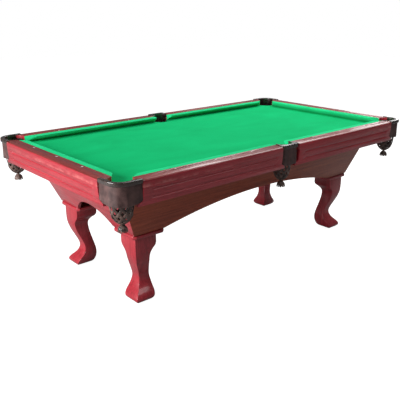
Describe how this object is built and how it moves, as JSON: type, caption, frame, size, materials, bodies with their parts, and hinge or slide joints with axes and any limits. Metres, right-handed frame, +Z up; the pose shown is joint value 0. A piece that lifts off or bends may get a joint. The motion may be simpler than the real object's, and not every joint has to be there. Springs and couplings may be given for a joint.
{
  "type": "pool table",
  "caption": "Slate-bed pool table with mahogany rails, fluted aprons, leather drop pockets, leaning arched cabinet and cabriole legs.",
  "frame": {"origin": "on the floor under the middle of the bed", "axes": "+X along the table's length, +Y across it, +Z up; near is -Y and left is -X"},
  "size_m": [2.487, 1.3696, 0.851],
  "materials": {
    "mahogany": "gloss lacquered mahogany",
    "frame_timber": "plain sawn timber",
    "cloth": "woven wool, napped",
    "cushion_cloth": "woven wool over gum rubber",
    "slate": "honed stone, matte",
    "collar_leather": "polished dark leather",
    "net_leather": "waxed dark leather strap",
    "steel": "zinc plated"
  },
  "bodies": {
    "table": {"slate_left": "slate", "slate_middle": "slate", "slate_right": "slate", "bed_cloth": "cloth", "rail_near_left": "mahogany", "cushion_near_left": "cushion_cloth", "apron_near_left": "mahogany", "rail_near_right": "mahogany", "cushion_near_right": "cushion_cloth", "apron_near_right": "mahogany", "rail_far_left": "mahogany", "cushion_far_left": "cushion_cloth", "apron_far_left": "mahogany", "rail_far_right": "mahogany", "cushion_far_right": "cushion_cloth", "apron_far_right": "mahogany", "rail_left_end": "mahogany", "cushion_left_end": "cushion_cloth", "apron_left_end": "mahogany", "rail_right_end": "mahogany", "cushion_right_end": "cushion_cloth", "apron_right_end": "mahogany", "pocket_collar_near_left": "collar_leather", "pocket_net_near_left": "net_leather", "pocket_collar_near_right": "collar_leather", "pocket_net_near_right": "net_leather", "pocket_collar_far_left": "collar_leather", "pocket_net_far_left": "net_leather", "pocket_collar_far_right": "collar_leather", "pocket_net_far_right": "net_leather", "pocket_collar_near_middle": "collar_leather", "pocket_net_near_middle": "net_leather", "pocket_collar_far_middle": "collar_leather", "pocket_net_far_middle": "net_leather", "cabinet_side_near": "mahogany", "cabinet_side_far": "mahogany", "cabinet_left_end": "mahogany", "cabinet_right_end": "mahogany", "cross_beam_left_leg": "frame_timber", "cross_beam_left_seam": "frame_timber", "cross_beam_right_seam": "frame_timber", "cross_beam_right_leg": "frame_timber", "leg_near_left": "mahogany", "leg_plate_near_left": "mahogany", "leg_near_right": "mahogany", "leg_plate_near_right": "mahogany", "leg_far_left": "mahogany", "leg_plate_far_left": "mahogany", "leg_far_right": "mahogany", "leg_plate_far_right": "mahogany"},
    "pocket_tassel_near_left": {"pocket_tassel_near_left": "net_leather"},
    "pocket_tassel_near_right": {"pocket_tassel_near_right": "net_leather"},
    "pocket_tassel_far_left": {"pocket_tassel_far_left": "net_leather"},
    "pocket_tassel_far_right": {"pocket_tassel_far_right": "net_leather"},
    "pocket_tassel_near_middle": {"pocket_tassel_near_middle": "net_leather"},
    "pocket_tassel_far_middle": {"pocket_tassel_far_middle": "net_leather"},
    "levelling_foot_near_left": {"levelling_foot_near_left": "steel"},
    "levelling_foot_near_right": {"levelling_foot_near_right": "steel"},
    "levelling_foot_far_left": {"levelling_foot_far_left": "steel"},
    "levelling_foot_far_right": {"levelling_foot_far_right": "steel"}
  },
  "joints": [
    {"name": "level_near_left", "type": "slide", "parent": "table", "child": "levelling_foot_near_left", "axis": [0, 0, -1], "range_m": [0, 0.02]},
    {"name": "level_near_right", "type": "slide", "parent": "table", "child": "levelling_foot_near_right", "axis": [0, 0, -1], "range_m": [0, 0.02]},
    {"name": "level_far_left", "type": "slide", "parent": "table", "child": "levelling_foot_far_left", "axis": [0, 0, -1], "range_m": [0, 0.02]},
    {"name": "level_far_right", "type": "slide", "parent": "table", "child": "levelling_foot_far_right", "axis": [0, 0, -1], "range_m": [0, 0.02]},
    {"name": "swing_near_left", "type": "hinge", "parent": "table", "child": "pocket_tassel_near_left", "pos_m": [-1.1585, -0.59975, 0.612], "axis": [1, 0, 0], "range_deg": [-20, 20]},
    {"name": "swing_near_right", "type": "hinge", "parent": "table", "child": "pocket_tassel_near_right", "pos_m": [1.1585, -0.59975, 0.612], "axis": [1, 0, 0], "range_deg": [-20, 20]},
    {"name": "swing_far_left", "type": "hinge", "parent": "table", "child": "pocket_tassel_far_left", "pos_m": [-1.1585, 0.59975, 0.612], "axis": [1, 0, 0], "range_deg": [-20, 20]},
    {"name": "swing_far_right", "type": "hinge", "parent": "table", "child": "pocket_tassel_far_right", "pos_m": [1.1585, 0.59975, 0.612], "axis": [1, 0, 0], "range_deg": [-20, 20]},
    {"name": "swing_near_middle", "type": "hinge", "parent": "table", "child": "pocket_tassel_near_middle", "pos_m": [0, -0.61075, 0.612], "axis": [1, 0, 0], "range_deg": [-20, 20]},
    {"name": "swing_far_middle", "type": "hinge", "parent": "table", "child": "pocket_tassel_far_middle", "pos_m": [0, 0.61075, 0.612], "axis": [1, 0, 0], "range_deg": [-20, 20]}
  ]
}
